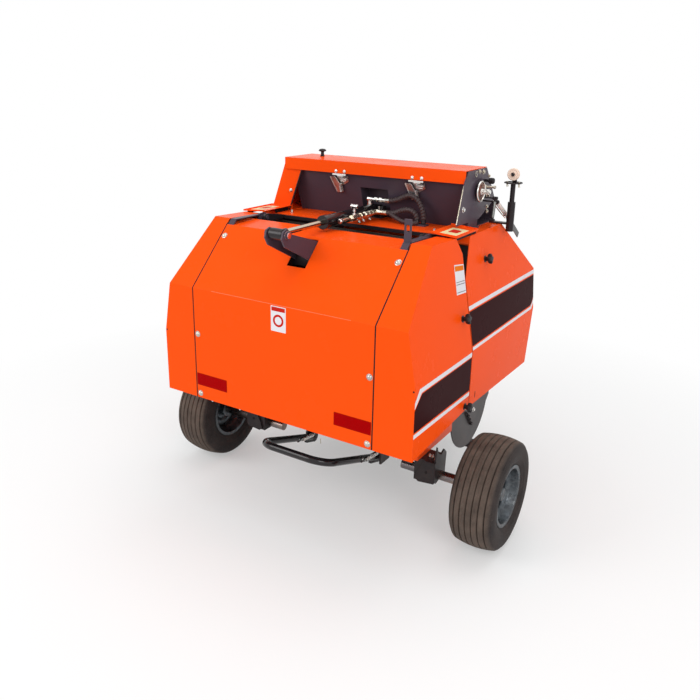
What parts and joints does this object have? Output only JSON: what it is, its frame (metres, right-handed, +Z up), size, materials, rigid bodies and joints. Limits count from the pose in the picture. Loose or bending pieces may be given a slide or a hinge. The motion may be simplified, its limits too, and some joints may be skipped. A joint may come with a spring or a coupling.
{
  "type": "mini round baler",
  "caption": "Compact tractor-mounted round baler with hinged tailgate, lift cylinder, pickup reel, roller chamber, net box, wheels and stands.",
  "frame": {"origin": "on the floor under the middle of the whole machine", "axes": "+X the machine's right, +Y the direction of travel, +Z up"},
  "size_m": [1.427, 1.229, 1.325],
  "materials": {
    "orange_paint": "gloss",
    "charcoal_paint": "satin",
    "black_paint": "satin",
    "zinc": "satin",
    "chrome": "polished",
    "cast": "matt",
    "tyre": "matt",
    "galvanised": "spangled",
    "hose_rubber": "matt",
    "black_plastic": "matt",
    "white_plastic": "matt",
    "steel": "satin"
  },
  "bodies": {
    "machine": {"axle_clamp_left": "black_paint", "axle_clamp_right": "black_paint", "box_end_left": "orange_paint", "box_end_right": "charcoal_paint", "chamber_plate_left": "orange_paint", "chamber_plate_right": "orange_paint", "cover_knobs": "black_plastic", "cross_beam": "orange_paint", "cylinder_base": "black_paint", "gearbox": "cast", "hinge_guards": "orange_paint", "hitch_frame": "black_paint", "hose_clamp": "black_paint", "hose_low": "hose_rubber", "hose_top": "hose_rubber", "kicker_hanger": "black_paint", "net_brake": "zinc", "pickup_bands": "black_paint", "pickup_shields": "charcoal_paint", "shaft_guard": "black_plastic", "side_cover_left": "orange_paint", "side_cover_right": "orange_paint", "stub_axle_left": "black_paint", "stub_axle_right": "black_paint", "top_panel": "orange_paint", "twine_box": "charcoal_paint", "twine_post": "black_paint"},
    "tailgate": {"tailgate_cover": "orange_paint", "tailgate_cap_left": "orange_paint", "tailgate_cap_right": "orange_paint", "tailgate_plate_left": "orange_paint", "tailgate_plate_right": "orange_paint", "tailgate_crossbar": "black_paint", "cylinder_bracket": "black_paint", "top_straps": "black_paint", "cap_knobs": "black_plastic"},
    "cylinder_barrel_body": {"cylinder_barrel": "black_paint", "lock_valve": "zinc"},
    "cylinder_rod_body": {"cylinder_rod": "chrome"},
    "wheel_left": {"tyre_left": "tyre", "rim_left": "galvanised"},
    "wheel_right": {"tyre_right": "tyre", "rim_right": "galvanised"},
    "lid": {"box_lid": "orange_paint", "lid_knob": "black_plastic"},
    "kicker_body": {"kicker": "black_paint"},
    "pickup_rotor": {"pickup_reel": "steel"},
    "drive_shaft": {"input_shaft": "steel"},
    "pulley": {"guide_pulley": "white_plastic"},
    "stand_left": {"parking_stand_left": "black_paint"},
    "stand_right": {"parking_stand_right": "black_paint"},
    "tailgate_drum_1": {"tailgate_roller_1": "steel"},
    "tailgate_drum_2": {"tailgate_roller_2": "steel"},
    "tailgate_drum_3": {"tailgate_roller_3": "steel"},
    "tailgate_drum_4": {"tailgate_roller_4": "steel"},
    "chamber_drum_1": {"chamber_roller_1": "steel"},
    "chamber_drum_2": {"chamber_roller_2": "steel"},
    "chamber_drum_3": {"chamber_roller_3": "steel"},
    "chamber_drum_4": {"chamber_roller_4": "steel"}
  },
  "joints": [
    {"name": "tailgate_hinge", "type": "hinge", "parent": "machine", "child": "tailgate", "pos_m": [0, -0.2255, 1.085], "axis": [-1, 0, 0], "range_deg": [0, 60]},
    {"name": "cylinder_base_pivot", "type": "hinge", "parent": "machine", "child": "cylinder_barrel_body", "pos_m": [0, 0.0375, 1.117], "axis": [-1, 0, 0], "range_deg": [0, 36]},
    {"name": "cylinder_stroke", "type": "slide", "parent": "cylinder_barrel_body", "child": "cylinder_rod_body", "axis": [0, 1, 0], "range_m": [0, 0.115]},
    {"name": "wheel_left_spin", "type": "hinge", "parent": "machine", "child": "wheel_left", "pos_m": [-0.631, -0.1865, 0.203], "axis": [1, 0, 0], "continuous": true},
    {"name": "wheel_right_spin", "type": "hinge", "parent": "machine", "child": "wheel_right", "pos_m": [0.631, -0.1865, 0.203], "axis": [1, 0, 0], "continuous": true},
    {"name": "lid_hinge", "type": "hinge", "parent": "machine", "child": "lid", "pos_m": [0, 0.1475, 1.289], "axis": [-1, 0, 0], "range_deg": [0, 100]},
    {"name": "kicker_pivot", "type": "hinge", "parent": "machine", "child": "kicker_body", "pos_m": [0, -0.1545, 0.18], "axis": [1, 0, 0], "range_deg": [0, 18], "stiffness_Nm_per_rad": 60, "springref_deg": -22.92},
    {"name": "pickup_spin", "type": "hinge", "parent": "machine", "child": "pickup_rotor", "pos_m": [0, 0.2025, 0.33], "axis": [1, 0, 0], "continuous": true},
    {"name": "input_shaft_spin", "type": "hinge", "parent": "machine", "child": "drive_shaft", "pos_m": [0, 0.5675, 0.59], "axis": [0, 1, 0], "continuous": true},
    {"name": "guide_pulley_spin", "type": "hinge", "parent": "machine", "child": "pulley", "pos_m": [0.48, 0.1965, 1.269], "axis": [0, 1, 0], "continuous": true},
    {"name": "stand_left_slide", "type": "slide", "parent": "machine", "child": "stand_left", "axis": [0, 0, 1], "range_m": [0, 0.15]},
    {"name": "stand_right_slide", "type": "slide", "parent": "machine", "child": "stand_right", "axis": [0, 0, 1], "range_m": [0, 0.15]},
    {"name": "tailgate_roller_1_spin", "type": "hinge", "parent": "tailgate", "child": "tailgate_drum_1", "pos_m": [0, -0.32914, 0.96748], "axis": [1, 0, 0], "continuous": true},
    {"name": "tailgate_roller_2_spin", "type": "hinge", "parent": "tailgate", "child": "tailgate_drum_2", "pos_m": [0, -0.42904, 0.82998], "axis": [1, 0, 0], "continuous": true},
    {"name": "tailgate_roller_3_spin", "type": "hinge", "parent": "tailgate", "child": "tailgate_drum_3", "pos_m": [0, -0.42904, 0.66002], "axis": [1, 0, 0], "continuous": true},
    {"name": "tailgate_roller_4_spin", "type": "hinge", "parent": "tailgate", "child": "tailgate_drum_4", "pos_m": [0, -0.32914, 0.52252], "axis": [1, 0, 0], "continuous": true},
    {"name": "chamber_roller_1_spin", "type": "hinge", "parent": "machine", "child": "chamber_drum_1", "pos_m": [0, -0.13875, 1.01849], "axis": [1, 0, 0], "continuous": true},
    {"name": "chamber_roller_2_spin", "type": "hinge", "parent": "machine", "child": "chamber_drum_2", "pos_m": [0, 0.05498, 0.90664], "axis": [1, 0, 0], "continuous": true},
    {"name": "chamber_roller_3_spin", "type": "hinge", "parent": "machine", "child": "chamber_drum_3", "pos_m": [0, 0.10482, 0.70673], "axis": [1, 0, 0], "continuous": true},
    {"name": "chamber_roller_4_spin", "type": "hinge", "parent": "machine", "child": "chamber_drum_4", "pos_m": [0, -0.12923, 0.47268], "axis": [1, 0, 0], "continuous": true}
  ],
  "couplings": [
    {"joint": "cylinder_base_pivot", "follows": "tailgate_hinge", "ratio": 0.59253},
    {"joint": "cylinder_stroke", "follows": "tailgate_hinge", "m_per_rad": 0.10823},
    {"joint": "input_shaft_spin", "follows": "pickup_spin", "ratio": 5.3},
    {"joint": "tailgate_roller_1_spin", "follows": "pickup_spin", "ratio": 1.9},
    {"joint": "tailgate_roller_2_spin", "follows": "pickup_spin", "ratio": 1.9},
    {"joint": "tailgate_roller_3_spin", "follows": "pickup_spin", "ratio": 1.9},
    {"joint": "tailgate_roller_4_spin", "follows": "pickup_spin", "ratio": 1.9},
    {"joint": "chamber_roller_1_spin", "follows": "pickup_spin", "ratio": 1.9},
    {"joint": "chamber_roller_2_spin", "follows": "pickup_spin", "ratio": 1.9},
    {"joint": "chamber_roller_3_spin", "follows": "pickup_spin", "ratio": 1.9},
    {"joint": "chamber_roller_4_spin", "follows": "pickup_spin", "ratio": 1.9}
  ]
}
